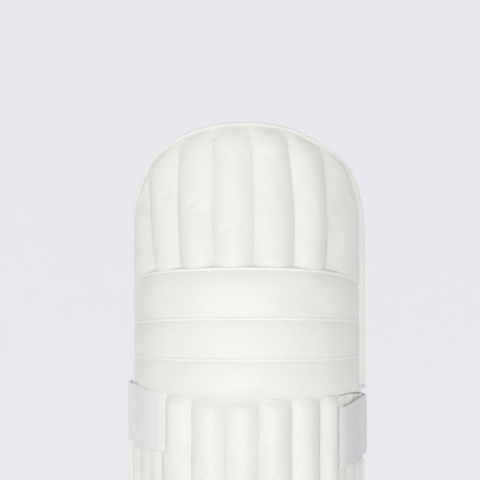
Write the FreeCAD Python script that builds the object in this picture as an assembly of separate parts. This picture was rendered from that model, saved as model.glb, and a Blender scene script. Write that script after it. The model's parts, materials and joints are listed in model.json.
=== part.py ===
import FreeCAD, Part
import math
import os

# Cricket leg pad. Millimetres, +Z up, the front faces -Y, +X is the viewer's right.
# In plan the pad is a shallow U open to the back: an arc about the leg and a straight stretch at each side.
# A place on that U is given by s, the length along it from the middle of the front, and by off, the
# distance outside the line of the stitched valleys. The origin ends up under the middle of the whole pad.

V = FreeCAD.Vector

# driving dimensions
PAD_HEIGHT = 719.0
ARC_RADIUS = 117.0
ARC_HALF_ANGLE = math.radians(62.0)
SIDE_LENGTH = 45.0

# heights of the knee bolsters' seams, from the shin up
KNEE_SEAMS = [432.0, 473.0, 516.0, 568.0]
KNEE_NAMES = ["lower", "middle", "upper"]

# layers, measured outwards from the line of the valleys
SKIN = 1.2
CREST = 9.0
KNEE_CREST = 11.0
KNEE_END_CREST = 1.5
FOAM_BACK = -5.0
CANE_BACK = -9.0
BACKING_BACK = -10.5
LINER_BACK = -22.0
LINER_GAP = 1.0
LINER_TOP_GAP = 4.0
CANE_SHARE = 0.64
CANE_WIDEST = 25.6
CANE_TOP_GAP = 14.0
CANE_BASE_GAP = 10.0
BINDING_WIDTH = 5.5
BINDING_PROUD = 1.0
WING_BINDING_PROUD = 0.5

# seams between the channels, as lengths along the U
SHIN_SEAMS = [-102.7, -61.7, -24.5, 10.9, 45.8, 80.5, 108.0]
FLAP_SEAMS = [-113.6, -74.4, -37.4, 4.1, 47.6, 88.4]
LINER_SEAMS = [-99.0, -35.0, 35.0, 99.0]

# instep arch, ankle flaps and side wings
ARCH_HALF_WIDTH = 48.0
ARCH_HEIGHT = 60.0
HEEL_CORNER_RADIUS = 38.0
FLAP_TOP = 94.0
WING_BOTTOM = 100.0
WING_TOP = 429.0
WING_FOAM_BACK = -9.0
WING_HINGE_GAP = 2.0
WING_COVER_GAP = 0.3
TAPE_BACK = 0.5
WING_TAPE_BACK = 1.0

# outline of the top flap seen from the front: half an ellipse on straight sides, squarer than a true one
TOP_ARCH_BASE = 600.0
TOP_ARCH_HALF_WIDTH = 126.0
TOP_ARCH_POWER = 2.6
TOP_ARCH_POINTS = 24
FOAM_MARGIN = 12.0

# room for the knee to flex: half gap at a seam, and the slope of each bolster's lower and upper face
SEAM_GAP = 0.15
LOWER_SLOPES = [10.5, 1.9, 1.9]
UPPER_SLOPES = [1.9, 1.9, 4.8]
FLEX_WEDGE_OVERRUN = 10.0

# straps: name, width, height of the middle at the pad's back edges, slope up to the left, and the slopes up to
# the back of the left end, the loop and the right end
STRAPS = [
    ("knee", 62.0, 408.9, 0.05, {"tip": 0.14, "loop": 0.18, "anchor": 0.241}),
    ("calf", 45.0, 262.0, 0.02, {"tip": 0.10, "loop": 0.14, "anchor": 0.18}),
    ("ankle", 38.0, 140.0, 0.0, {"tip": 0.0, "loop": 0.0, "anchor": 0.0}),
]
STRAP_OFF = 3.5
STRAP_THICKNESS = 2.2
STRAP_GAP = 0.3
STRAP_TIP_PAST_SEAM = 3.5
STRAP_CORNER_RADIUS = 10.0
STRAP_CORNER_ANGLE = math.radians(48.485)
ANCHOR_GAP = 1.0
ANCHOR_FOLD = 13.0
HOOK_THICKNESS = 1.4
HOOK_SPAN = (-141.0, -106.0)
HOOK_MARGIN = 5.0
LOOP_SPAN = (-143.0, -104.5)
LOOP_THICKNESS = 1.6
LOOP_MARGIN = 2.0
CALF_PAD_HALF_LENGTH = 46.0
CALF_PAD_THICKNESS = 9.0
CALF_PAD_OVERLAP = 4.0

S_ARC = ARC_RADIUS * ARC_HALF_ANGLE
S_END = S_ARC + SIDE_LENGTH
FAR = 400.0
CLEAR = 1.0
BACK_EDGE_Y = -ARC_RADIUS * math.cos(ARC_HALF_ANGLE) + SIDE_LENGTH * math.sin(ARC_HALF_ANGLE)


def plan_point(s, off, z=0.0):
    """Point on the U at length s, off outside the line of the valleys."""
    along = min(abs(s), S_ARC)
    beyond = abs(s) - along
    angle = along / ARC_RADIUS
    radius = ARC_RADIUS + off
    x = radius * math.sin(angle) + beyond * math.cos(ARC_HALF_ANGLE)
    y = -radius * math.cos(angle) + beyond * math.sin(ARC_HALF_ANGLE)
    return V(math.copysign(x, s) if s else 0.0, y, z)


def plan_edges(s0, s1, off):
    """Edges of the U from s0 up to s1: an arc about the leg, and a line at each side."""
    stops = [s0] + [s for s in (-S_ARC, S_ARC) if s0 < s < s1] + [s1]
    edges = []
    for a, b in zip(stops, stops[1:]):
        middle = (a + b) / 2
        if abs(middle) < S_ARC:
            edges.append(Part.Arc(plan_point(a, off), plan_point(middle, off), plan_point(b, off)).toShape())
        else:
            edges.append(Part.makeLine(plan_point(a, off), plan_point(b, off)))
    return edges


def bump_edges(seams, off, crest):
    """One arc from seam to seam, rising to the crest half way."""
    edges = []
    for a, b in zip(seams, seams[1:]):
        middle = plan_point((a + b) / 2, off + crest)
        edges.append(Part.Arc(plan_point(a, off), middle, plan_point(b, off)).toShape())
    return edges


def prism(outer, inner, z0, z1):
    """Solid between an outer and an inner chain of plan edges."""
    ends = [
        Part.makeLine(outer[0].firstVertex().Point, inner[0].firstVertex().Point),
        Part.makeLine(outer[-1].lastVertex().Point, inner[-1].lastVertex().Point),
    ]
    wire = Part.Wire(Part.__sortEdges__(outer + inner + ends))
    solid = Part.Face(wire).extrude(V(0, 0, z1 - z0))
    solid.translate(V(0, 0, z0))
    return solid


def band(s0, s1, off0, off1, z0, z1):
    return prism(plan_edges(s0, s1, off1), plan_edges(s0, s1, off0), z0, z1)


def channel(s0, s1, z0, z1):
    """Stuffing of one channel, crowned under the facing."""
    return prism(bump_edges([s0, s1], -SKIN, CREST), plan_edges(s0, s1, FOAM_BACK), z0, z1)


def facing(seams, z0, z1):
    return prism(bump_edges(seams, 0.0, CREST), bump_edges(seams, -SKIN, CREST), z0, z1)


def cane_slats(seams, z0, z1):
    """A flat slat behind each channel, as a group of separate solids."""
    slats = []
    for a, b in zip(seams, seams[1:]):
        middle = (a + b) / 2
        half = min(CANE_SHARE * (b - a), CANE_WIDEST) / 2
        slats.append(band(middle - half, middle + half, CANE_BACK, FOAM_BACK, z0, z1))
    return slats


# ---- outlines that trim the layers ----

def arch_cut(inset):
    """The instep arch, as a half ellipse through the front, larger by the inset."""
    half = ARCH_HALF_WIDTH + inset
    height = ARCH_HEIGHT + inset
    ellipse = Part.Ellipse(V(0, 0, 0), max(half, height), min(half, height)).toShape()
    face = Part.Face(Part.Wire([ellipse]))
    face.rotate(V(0, 0, 0), V(1, 0, 0), 90)
    if height > half:
        face.rotate(V(0, 0, 0), V(0, 1, 0), 90)
    return face.extrude(V(0, -FAR, 0))


def foot_outline(inset):
    """Everything above the ground line and outside the arch, with the lower back corners rounded."""
    keep = Part.makeBox(2 * FAR, 2 * FAR, 2 * FAR, V(-FAR, -FAR, inset)).cut(arch_cut(inset))
    corner_y = BACK_EDGE_Y - HEEL_CORNER_RADIUS
    corner = Part.makeBox(2 * FAR, FAR, HEEL_CORNER_RADIUS, V(-FAR, corner_y, 0))
    centre = V(-FAR, corner_y, HEEL_CORNER_RADIUS)
    round_off = Part.makeCylinder(HEEL_CORNER_RADIUS - inset, 2 * FAR, centre, V(1, 0, 0))
    return keep.cut(corner.cut(round_off))


def top_outline(inset):
    """The top flap's outline through the whole depth."""
    half = TOP_ARCH_HALF_WIDTH - inset
    height = PAD_HEIGHT - TOP_ARCH_BASE - inset
    points = []
    for k in range(TOP_ARCH_POINTS + 1):
        angle = math.pi * k / TOP_ARCH_POINTS
        x = math.copysign(abs(math.cos(angle)) ** (2 / TOP_ARCH_POWER), math.cos(angle))
        z = max(math.sin(angle), 0.0) ** (2 / TOP_ARCH_POWER)
        points.append(V(half * x, -FAR, TOP_ARCH_BASE + height * z))
    curve = Part.BSplineCurve()
    curve.interpolate(points)
    feet = [V(p.x, p.y, TOP_ARCH_BASE - FAR) for p in (points[-1], points[0])]
    sides = Part.makePolygon([points[-1], feet[0], feet[1], points[0]]).Edges
    face = Part.Face(Part.Wire([curve.toShape()] + sides))
    return face.extrude(V(0, 2 * FAR, 0))


def flex_wedge(z0, z1, lower_slope, upper_slope):
    """Room between two knee seams, closing towards the back so that the pad can flex."""
    low, high = z0 + SEAM_GAP, z1 - SEAM_GAP
    back_y = BACK_EDGE_Y + FLEX_WEDGE_OVERRUN
    reach = back_y + ARC_RADIUS
    rise = reach * math.tan(math.radians(lower_slope))
    drop = reach * math.tan(math.radians(upper_slope))
    front = [V(-FAR, -FAR, low), V(-FAR, -ARC_RADIUS, low)]
    back = [V(-FAR, back_y, low + rise), V(-FAR, back_y, high - drop)]
    top = [V(-FAR, -ARC_RADIUS, high), V(-FAR, -FAR, high)]
    face = Part.Face(Part.makePolygon(front + back + top + front[:1]))
    return face.extrude(V(2 * FAR, 0, 0))


# ---- shin ----

def shin():
    z1 = KNEE_SEAMS[0] - SEAM_GAP
    inner = foot_outline(BINDING_WIDTH)
    nodes = {"shin_facing": facing(SHIN_SEAMS, 0, z1).common(inner)}
    for i, (a, b) in enumerate(zip(SHIN_SEAMS, SHIN_SEAMS[1:]), 1):
        nodes[f"shin_channel_{i}"] = channel(a, b, 0, z1).common(inner)
    room = foot_outline(2 * BINDING_WIDTH)
    slats = [slat.common(room) for slat in cane_slats(SHIN_SEAMS, 0, z1 - CANE_TOP_GAP)]
    nodes["shin_canes"] = Part.makeCompound(slats)
    nodes["shin_backing"] = band(SHIN_SEAMS[0], SHIN_SEAMS[-1], BACKING_BACK, CANE_BACK, 0, z1).common(inner)
    for name, a, b in zip(("left", "centre", "right"), LINER_SEAMS, LINER_SEAMS[1:]):
        liner = band(a + LINER_GAP, b - LINER_GAP, LINER_BACK, BACKING_BACK, 0, z1 - LINER_TOP_GAP)
        nodes[f"shin_liner_{name}"] = liner.common(inner)
    nodes.update(ankle_flaps(inner))
    nodes["bottom_binding"] = bottom_binding(inner)
    return nodes


def ankle_flaps(inner):
    nodes = {}
    edge = S_END - BINDING_WIDTH
    top = FLAP_TOP - BINDING_WIDTH
    for name, a, b in (("left", -edge, SHIN_SEAMS[0]), ("right", SHIN_SEAMS[-1], edge)):
        nodes[f"ankle_flap_{name}_cover"] = band(a, b, -SKIN, 0, 0, top).common(inner)
        nodes[f"ankle_flap_{name}_foam"] = band(a, b, BACKING_BACK, -SKIN, 0, top).common(inner)
    return nodes


def bottom_binding(inner):
    """Tape round the instep arch, the ground line, the back of each ankle flap and its top edge."""
    back, front = BACKING_BACK - TAPE_BACK, BINDING_PROUD
    low = band(-S_END, S_END, back, front, 0, FLAP_TOP).common(foot_outline(0))
    edge = S_END - BINDING_WIDTH
    core = band(-edge, edge, back - CLEAR, front + CLEAR, -CLEAR, FLAP_TOP - BINDING_WIDTH)
    a, b = SHIN_SEAMS[0], SHIN_SEAMS[-1]
    opening = band(a, b, back - CLEAR, front + CLEAR, FLAP_TOP / 2, FLAP_TOP + CLEAR)
    return low.cut(core.fuse(opening).common(inner))


# ---- side wings ----

def wing(side):
    """Side wing: cover, stuffing and edge tape. It folds at the seam beside the shin's outer channel."""
    seam = abs(SHIN_SEAMS[0]) if side < 0 else SHIN_SEAMS[-1]
    edge = S_END - BINDING_WIDTH

    def side_band(s0, s1, off0, off1, z0, z1):
        return band(min(side * s0, side * s1), max(side * s0, side * s1), off0, off1, z0, z1)

    low = WING_BOTTOM + BINDING_WIDTH
    hinge = seam + WING_HINGE_GAP
    back = WING_FOAM_BACK - WING_TAPE_BACK
    cover = side_band(seam + WING_COVER_GAP, edge, -SKIN, 0, low, WING_TOP)
    foam = side_band(hinge, edge, WING_FOAM_BACK, -SKIN, low, WING_TOP)
    tape = side_band(hinge, S_END, back, WING_BINDING_PROUD, WING_BOTTOM, WING_TOP)
    core = side_band(seam, edge, back - CLEAR, WING_BINDING_PROUD + CLEAR, low, WING_TOP + CLEAR)
    name = "left_wing" if side < 0 else "right_wing"
    return {f"{name}_cover": cover, f"{name}_foam": foam, f"{name}_binding": tape.cut(core)}


# ---- knee bolsters ----

def bolster_wire(z0, z1, off_back, off_front, crest):
    """Section of a bolster as (radius, height): a flat back and a crowned front."""
    back = ARC_RADIUS + off_back
    front = ARC_RADIUS + off_front
    corners = [V(front, 0, z0), V(back, 0, z0), V(back, 0, z1), V(front, 0, z1)]
    crown = Part.Arc(corners[3], V(front + crest, 0, (z0 + z1) / 2), corners[0]).toShape()
    return Part.Wire(Part.makePolygon(corners).Edges + [crown])


def cover_wire(z0, z1, off_back, off_front, crest):
    """Section of a bolster's leather: two parallel crowns, a skin apart."""
    ends = []
    crowns = []
    for radius in (ARC_RADIUS + off_front, ARC_RADIUS + off_back):
        low, high = V(radius, 0, z0), V(radius, 0, z1)
        crowns.append(Part.Arc(low, V(radius + crest, 0, (z0 + z1) / 2), high).toShape())
        ends.append((low, high))
    caps = [Part.makeLine(ends[0][k], ends[1][k]) for k in (0, 1)]
    return Part.Wire(Part.__sortEdges__([crowns[0], caps[1], crowns[1], caps[0]]))


def sweep_section(section, length, z0, z1, off_back, off_front):
    """Revolve the section about the leg, and draw it out along each side to a flatter end."""
    turn = math.degrees(ARC_HALF_ANGLE)
    full = section(z0, z1, off_back, off_front, KNEE_CREST)
    flat = section(z0, z1, off_back, off_front, KNEE_END_CREST)
    start = Part.Face(full)
    start.rotate(V(0, 0, 0), V(0, 0, 1), -90 - turn)
    middle = start.revolve(V(0, 0, 0), V(0, 0, 1), 2 * turn)
    sides = []
    for way in (-1, 1):
        near, far = full.copy(), flat.copy()
        for wire in (near, far):
            wire.rotate(V(0, 0, 0), V(0, 0, 1), -90 + way * turn)
        far.translate(V(way * math.cos(ARC_HALF_ANGLE), math.sin(ARC_HALF_ANGLE), 0) * length)
        sides.append(Part.makeLoft([near, far], True, True))
    return middle.fuse(sides).removeSplitter()


def knee_bolster(i):
    z0, z1 = KNEE_SEAMS[i], KNEE_SEAMS[i + 1]
    wedge = flex_wedge(z0, z1, LOWER_SLOPES[i], UPPER_SLOPES[i])
    length = SIDE_LENGTH - BINDING_WIDTH
    cover = sweep_section(cover_wire, length, z0, z1, -SKIN, 0.0).common(wedge)
    core = sweep_section(bolster_wire, length, z0, z1, BACKING_BACK, -SKIN).common(wedge)
    liner = band(LINER_SEAMS[0], LINER_SEAMS[-1], LINER_BACK, BACKING_BACK, z0, z1).common(wedge)
    tapes = []
    for a, b in ((-S_END, -S_END + BINDING_WIDTH), (S_END - BINDING_WIDTH, S_END)):
        tapes.append(band(a, b, BACKING_BACK, BINDING_PROUD, z0, z1).common(wedge))
    name = f"knee_{KNEE_NAMES[i]}"
    return {
        f"{name}_cover": cover,
        f"{name}_core": core,
        f"{name}_liner": liner,
        f"{name}_binding": Part.makeCompound(tapes),
    }


# ---- top flap ----

def top_flap():
    z0 = KNEE_SEAMS[-1] + SEAM_GAP
    z1 = PAD_HEIGHT
    edge = S_END - BINDING_WIDTH
    seams = [-edge] + FLAP_SEAMS + [edge]
    inner = top_outline(BINDING_WIDTH)
    stuffing = top_outline(FOAM_MARGIN)
    nodes = {"top_flap_facing": facing(seams, z0, z1).common(inner)}
    room = band(FOAM_MARGIN - S_END, S_END - FOAM_MARGIN, FOAM_BACK, 2 * CREST, z0, z1).common(stuffing)
    for i, (a, b) in enumerate(zip(seams, seams[1:]), 1):
        stuffed = channel(a, b, z0, z1)
        nodes[f"top_flap_channel_{i}"] = stuffed.common(room)
    cane_room = top_outline(2 * FOAM_MARGIN)
    slats = [slat.common(cane_room) for slat in cane_slats(seams, z0 + CANE_BASE_GAP, z1)]
    nodes["top_flap_canes"] = Part.makeCompound(slats)
    nodes["top_flap_backing"] = band(-edge, edge, BACKING_BACK, CANE_BACK, z0, z1).common(inner)
    liner = band(LINER_SEAMS[0], LINER_SEAMS[-1], LINER_BACK, BACKING_BACK, z0, z1)
    nodes["top_flap_liner"] = liner.common(stuffing)
    back, front = BACKING_BACK - TAPE_BACK, BINDING_PROUD
    rim = band(-S_END, S_END, back, front, z0, z1).common(top_outline(0))
    core = band(-edge, edge, back - CLEAR, front + CLEAR, z0 - CLEAR, z1).common(inner)
    nodes["top_flap_binding"] = rim.cut(core)
    return nodes


# ---- straps ----

def strap_back_edges(off):
    """The strap's line behind the leg: a tight corner at each side and one long arc between them."""
    side = plan_point(S_END, 0)
    corner = V(
        side.x - STRAP_CORNER_RADIUS * math.sin(ARC_HALF_ANGLE),
        side.y + STRAP_CORNER_RADIUS * math.cos(ARC_HALF_ANGLE),
        0,
    )
    turn = STRAP_CORNER_ANGLE
    long_radius = STRAP_CORNER_RADIUS + corner.x / math.cos(turn)
    centre_y = corner.y - corner.x * math.tan(turn)
    tight = STRAP_CORNER_RADIUS + off
    start = ARC_HALF_ANGLE - math.pi / 2

    def on_corner(angle):
        return V(corner.x + tight * math.cos(angle), corner.y + tight * math.sin(angle), 0)

    right = [on_corner(start), on_corner((start + turn) / 2), on_corner(turn)]
    top = V(0, centre_y + long_radius + off, 0)
    left = [V(-p.x, p.y, 0) for p in reversed(right)]
    return [
        Part.Arc(*right).toShape(),
        Part.Arc(right[2], top, left[0]).toShape(),
        Part.Arc(*left).toShape(),
    ]


def slope_strap(shape, strap, part):
    """Shear a part of a strap made level at height zero, so that it climbs to the back and to the left."""
    height, slope_left, slopes = strap[2:]
    slope_back = slopes[part]
    shear = FreeCAD.Matrix()
    shear.A31 = -slope_left
    shear.A32 = slope_back
    shear.A34 = height - slope_back * BACK_EDGE_Y
    return shape.transformGeometry(shear)


def strap_nodes(strap):
    name, width = strap[0], strap[1]
    z0, z1 = -width / 2, width / 2
    outer = STRAP_OFF + STRAP_THICKNESS
    loop = prism(strap_back_edges(outer), strap_back_edges(STRAP_OFF), z0, z1)
    tip = band(-S_END + STRAP_GAP, SHIN_SEAMS[0] + STRAP_TIP_PAST_SEAM, STRAP_OFF, outer, z0, z1)
    hook_z0, hook_z1 = z0 + HOOK_MARGIN, z1 - HOOK_MARGIN
    hook = band(HOOK_SPAN[0], HOOK_SPAN[1], STRAP_OFF - HOOK_THICKNESS, STRAP_OFF, hook_z0, hook_z1)
    nodes = {
        f"{name}_strap_loop": slope_strap(loop, strap, "loop"),
        f"{name}_strap_tip": slope_strap(tip, strap, "tip"),
        f"{name}_strap_hook": slope_strap(hook, strap, "tip"),
    }
    if name == "knee":
        nodes["knee_strap_calf_pad"] = slope_strap(calf_pad(z0, z1), strap, "loop")
    return nodes


def calf_pad(z0, z1):
    """Soft pad inside the strap, where it crosses the back of the leg."""
    outer = strap_back_edges(STRAP_OFF)
    inner = strap_back_edges(STRAP_OFF - CALF_PAD_THICKNESS)
    ring = prism(outer, inner, z0 - CALF_PAD_OVERLAP, z1 + CALF_PAD_OVERLAP)
    window = Part.makeBox(2 * CALF_PAD_HALF_LENGTH, FAR, FAR, V(-CALF_PAD_HALF_LENGTH, 0, -FAR / 2))
    return ring.common(window)


def strap_anchors():
    """The sewn end of each strap on the right wing: a flat run over a folded foot."""
    anchors = []
    seam = SHIN_SEAMS[-1] + ANCHOR_GAP
    for strap in STRAPS:
        z0, z1 = -strap[1] / 2, strap[1] / 2
        run = band(seam, S_END - STRAP_GAP, STRAP_OFF, STRAP_OFF + STRAP_THICKNESS, z0, z1)
        foot = band(seam + ANCHOR_GAP / 2, seam + ANCHOR_FOLD, 0, STRAP_OFF, z0, z1)
        anchors.append(slope_strap(run.fuse(foot).removeSplitter(), strap, "anchor"))
    return Part.makeCompound(anchors)


def loop_patches():
    """Loop tape on the left wing, where each strap's hooks grip."""
    patches = []
    for strap in STRAPS:
        half = strap[1] / 2 - LOOP_MARGIN
        patch = band(LOOP_SPAN[0], LOOP_SPAN[1], 0, LOOP_THICKNESS, -half, half)
        patches.append(slope_strap(patch, strap, "tip"))
    return Part.makeCompound(patches)


def strap_bend(side):
    """Where a strap bends about an upright line at the pad's back edge."""
    return plan_point(side * S_END, STRAP_OFF + STRAP_THICKNESS)


# ---- the whole pad ----

def build():
    nodes = shin()
    nodes.update(wing(-1))
    nodes.update(wing(1))
    for i in range(len(KNEE_NAMES)):
        nodes.update(knee_bolster(i))
    nodes.update(top_flap())
    for strap in STRAPS:
        nodes.update(strap_nodes(strap))
    nodes["strap_anchors"] = strap_anchors()
    nodes["loop_patches"] = loop_patches()
    return nodes


def base_centre(nodes):
    """Middle of the whole pad's box at its base."""
    box = Part.makeCompound(list(nodes.values())).optimalBoundingBox(False)
    return V(box.Center.x, box.Center.y, box.ZMin)


NODES = build()
ORIGIN = base_centre(NODES)
os.makedirs("parts", exist_ok=True)
for node, shape in NODES.items():
    shape.translate(-ORIGIN)
    shape.exportStep(f"parts/{node}.step")
print("origin moved by", ORIGIN, "nodes", len(NODES))
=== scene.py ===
import bpy
import json
import math
import numpy as np
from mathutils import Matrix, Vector


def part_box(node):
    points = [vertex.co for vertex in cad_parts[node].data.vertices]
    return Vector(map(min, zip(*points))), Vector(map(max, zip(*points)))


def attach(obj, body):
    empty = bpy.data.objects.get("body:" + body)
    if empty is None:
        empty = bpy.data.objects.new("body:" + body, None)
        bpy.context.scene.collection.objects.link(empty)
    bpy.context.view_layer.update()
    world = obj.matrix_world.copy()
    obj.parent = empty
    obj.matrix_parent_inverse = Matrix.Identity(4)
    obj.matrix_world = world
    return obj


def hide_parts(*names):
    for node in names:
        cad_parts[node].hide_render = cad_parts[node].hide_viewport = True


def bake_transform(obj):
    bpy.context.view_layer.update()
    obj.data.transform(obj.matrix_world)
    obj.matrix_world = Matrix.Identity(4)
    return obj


# Cricket leg pad. Lengths in this script are millimetres, turned into metres where a mesh is made.
# A place on the pad is (s, z, off): s runs round the U-shaped plan from the middle of the front, z is the
# height, and off stands out from the line of the stitched valleys.

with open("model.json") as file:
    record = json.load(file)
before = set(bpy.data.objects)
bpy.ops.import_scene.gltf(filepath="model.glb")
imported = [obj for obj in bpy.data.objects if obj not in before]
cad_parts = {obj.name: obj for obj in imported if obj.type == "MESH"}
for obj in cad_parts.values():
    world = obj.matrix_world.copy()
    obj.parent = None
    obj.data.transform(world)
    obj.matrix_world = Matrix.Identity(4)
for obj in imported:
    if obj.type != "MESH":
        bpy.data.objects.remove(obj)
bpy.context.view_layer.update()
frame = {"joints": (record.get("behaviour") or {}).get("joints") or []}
MM = 0.001

# ---- the frame's own sizes ----

JOINT = {j["name"]: j for j in frame["joints"]}
RADIUS = 117.0
HALF_ANGLE = math.radians(62.0)
SIDE = 45.0
S_ARC = RADIUS * HALF_ANGLE
S_END = S_ARC + SIDE
CENTRE_Y = JOINT["knee_flex"]["pos_m"][1] / MM + RADIUS
KNEE_JOINTS = ("knee_flex", "knee_flex_middle", "knee_flex_upper", "top_flap_flex")
KNEE_Z = [JOINT[name]["pos_m"][2] / MM for name in KNEE_JOINTS]
KNEE_BODIES = ["shin", "knee_lower", "knee_middle", "knee_upper", "top_flap"]
TOP_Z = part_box("top_flap_binding")[1].z / MM
EDGE_Y = CENTRE_Y - RADIUS * math.cos(HALF_ANGLE) + SIDE * math.sin(HALF_ANGLE)
WING_Z = (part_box("left_wing_binding")[0].z / MM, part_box("left_wing_binding")[1].z / MM)
ANKLE_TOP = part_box("bottom_binding")[1].z / MM
# the seams where the side wings leave the shin
SEAM_A = -102.7
SEAM_G = 108.0
SIDES = ((-1, "left", abs(SEAM_A)), (1, "right", SEAM_G))

# ---- relief ----

STEP = 2.4
SKIN_BACK = -9.5
LINING_OUT = -9.4
LINING_THIN = -11.0
LINING_DEEP = -21.0
SHIN_SEAMS = [SEAM_A, -61.7, -24.5, 10.9, 45.8, 80.5, SEAM_G]
# seams of the top flap: s at the knee, half way up, and at the top
FLAP_SEAMS = [
    (-113.6, -127.0, -129.0), (-74.4, -80.5, -79.8), (-37.4, -38.1, -38.6),
    (4.1, 5.2, 3.0), (47.6, 48.7, 43.6), (88.4, 91.4, 86.2),
]
FLAP_SEAM_Z = (568.0, 642.0, 700.0)
LINING_SEAMS = [-99.0, -35.0, 35.0, 99.0]
CHANNEL_CREST = 9.0
CHANNEL_VALLEY = 0.9
SKIN_EDGE = 3.0
TOP_SKIN_EDGE = 1.6
# the instep arch, and the round back corners of the foot
ARCH_HALF = 48.0
ARCH_HEIGHT = 60.0
CORNER = 38.0
# the top flap's outline: half a rounded oblong on a level base, its top drawn a little to one side
TOP_ARCH_BASE = 600.0
TOP_ARCH_POWER = 2.5
TOP_ARCH_HALF = 124.6
TOP_ARCH_RISE = 3.0
TOP_ARCH_SHIFT = 4.4
# how far each knee seam's ends rise, left and right, and how far out: the lowest seam, then the others
SEAM_RISE = ((7.0, 6.5), (3.5, 3.5), (-3.0, -2.5), (-6.5, -11.0))
LOW_SEAM_REACH = (112.0, 135.0)
SEAM_REACH = (150.0, 150.0)
SEAM_POWER = 2.3
# the knee section: its corners, how far out its seams lie, and where along s the bolsters run out
KNEE_CORNER = 7.0
KNEE_VALLEY = 10.2
TOP_VALLEY_SHARE = 0.7
FOOT_VALLEY = 5.0
ROLL_CREST = 10.4
ROLL_END_CREST = 2.0
ROLL_REACH = 168.0
BOLSTER = 43.0
# the side wings
WING_BACK = -8.6
WING_RIBS = {-1: [122.5, 147.7], 1: [126.0, 149.0]}
# how far a strap pulls a wing's edge in, and where along it the pull comes and goes
SQUEEZE_LEFT = 2.2
SQUEEZE_RIGHT = 3.5
PULL_START = 45.0
PULL_RISE = 38.0
PULL_HOLD = 8.0
PULL_EASE = 30.0


def flat_plan(s, z, off):
    """Points in metres for arrays of s, z and off, without the straps' pull."""
    s, z, off = np.broadcast_arrays(np.asarray(s, float), np.asarray(z, float), np.asarray(off, float))
    angle = np.clip(s, -S_ARC, S_ARC) / RADIUS
    beyond = np.abs(s) - np.abs(angle) * RADIUS
    x = (RADIUS + off) * np.sin(angle) + np.sign(s) * beyond * math.cos(HALF_ANGLE)
    y = CENTRE_Y - (RADIUS + off) * np.cos(angle) + beyond * math.sin(HALF_ANGLE)
    return np.stack([x, y, z], -1) * MM


def plan(s, z, off):
    """Points in metres for arrays of s, z and off, with the wings' edges pulled in under the straps."""
    off = np.asarray(off, float)
    return flat_plan(s, z, off - squeeze(s, z) * smooth((off + 8.0) / 6.0))


def smooth(x):
    x = np.clip(x, 0.0, 1.0)
    return x * x * (3 - 2 * x)


def fade(distance, reach=4.0):
    """1 at no distance, falling smoothly to nothing past the reach."""
    return np.exp(-(distance / reach) ** 2)


def dome(x):
    """Quarter round from 0 to 1."""
    x = np.clip(x, 0.0, 1.0)
    return np.sqrt(1 - (1 - x) ** 2)


def crown(t, square=2.4, steep=0.6):
    """A stuffed channel's profile across its width, 0 at both seams."""
    return np.clip(1 - np.abs(2 * t - 1) ** square, 0, 1) ** steep


def ripple(s, z, scale, seed):
    """Smooth irregular waves with no repeat that the eye can find, from -1 to 1."""
    draw = np.random.default_rng(seed)
    total = 0
    for _ in range(9):
        a = draw.uniform(0, 2 * math.pi)
        k = draw.uniform(0.6, 1.5) / scale
        total = total + np.sin(2 * math.pi * k * (s * math.cos(a) + z * math.sin(a)) + draw.uniform(0, 7))
    return total / 4.0


def knee_seam(j, s):
    """Height of a knee bolster's seam at s: the roll is pinched towards its ends."""
    share = np.abs(s) / np.where(s < 0, *(LOW_SEAM_REACH if j == 0 else SEAM_REACH))
    if j == 0:
        share = np.minimum(share, 1.0)
    return KNEE_Z[j] + np.where(s < 0, *SEAM_RISE[j]) * share ** SEAM_POWER


def arch_top(s, inset=0.0):
    """Height of the top flap's outline at s."""
    x = plan_x(s)
    shift = TOP_ARCH_SHIFT * (1 - smooth((x - 60.0) / 55.0)) * np.sign(s) * smooth(x / 20.0)
    x = np.clip((x + shift) / (TOP_ARCH_HALF - inset), 0, 1)
    height = TOP_Z + TOP_ARCH_RISE - TOP_ARCH_BASE - inset
    return TOP_ARCH_BASE + height * (1 - x ** TOP_ARCH_POWER) ** (1 / TOP_ARCH_POWER)


def plan_x(s):
    """How far a place on the valley line is from the middle, seen from the front."""
    angle = np.clip(np.abs(s), 0, S_ARC) / RADIUS
    return RADIUS * np.sin(angle) + (np.abs(s) - angle * RADIUS) * math.cos(HALF_ANGLE)


def foot_line(s, inset=0.0):
    """Height of the pad's lower edge at s: the instep arch, the ground, and the round back corners."""
    arch = (ARCH_HEIGHT + inset) * np.sqrt(np.clip(1 - (plan_x(s) / (ARCH_HALF + inset)) ** 2, 0, 1))
    corner_s = S_END - CORNER / math.sin(HALF_ANGLE)
    u = np.clip((np.abs(s) - corner_s) / (S_END - inset - corner_s), 0, 1)
    corner = CORNER - (CORNER - inset) * np.sqrt(1 - u ** 2)
    return np.maximum(np.maximum(arch, inset), corner)


def knee_foot(s):
    """Height of the knee section's lower edge, with its round back corners."""
    u = np.clip((np.abs(s) - S_END + KNEE_CORNER) / KNEE_CORNER, 0, 1)
    return knee_seam(0, s) + KNEE_CORNER * (1 - np.sqrt(1 - u ** 2))


def tape_width(s):
    """How much of the edge tape shows at s: a little at the top, more at the sides, most on the right."""
    return 3.8 + smooth((np.abs(s) - 115.0) / 45.0) * np.where(s < 0, 2.6, 11.0)


def margin(inside, s):
    """How far out the skin lies near the outline: rolled back at the top, full at the sides."""
    return (-1.8 + 3.6 * smooth((np.abs(s) - 40.0) / 90.0)) * (1 - smooth(inside / 24.0))


def low_margin(inside, s):
    """The same for the foot and the ankle flaps."""
    return -1.2 * (1 - smooth(inside / 20.0))


def wing_margin(inside, s):
    """The same for the wings, fuller on the left one."""
    return np.where(s < 0, 2.2, 0.3) * (1 - smooth(inside / 30.0))


# ---- mesh making ----

def link_object(name, data):
    obj = bpy.data.objects.new(name, data)
    bpy.context.scene.collection.objects.link(obj)
    return obj


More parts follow.
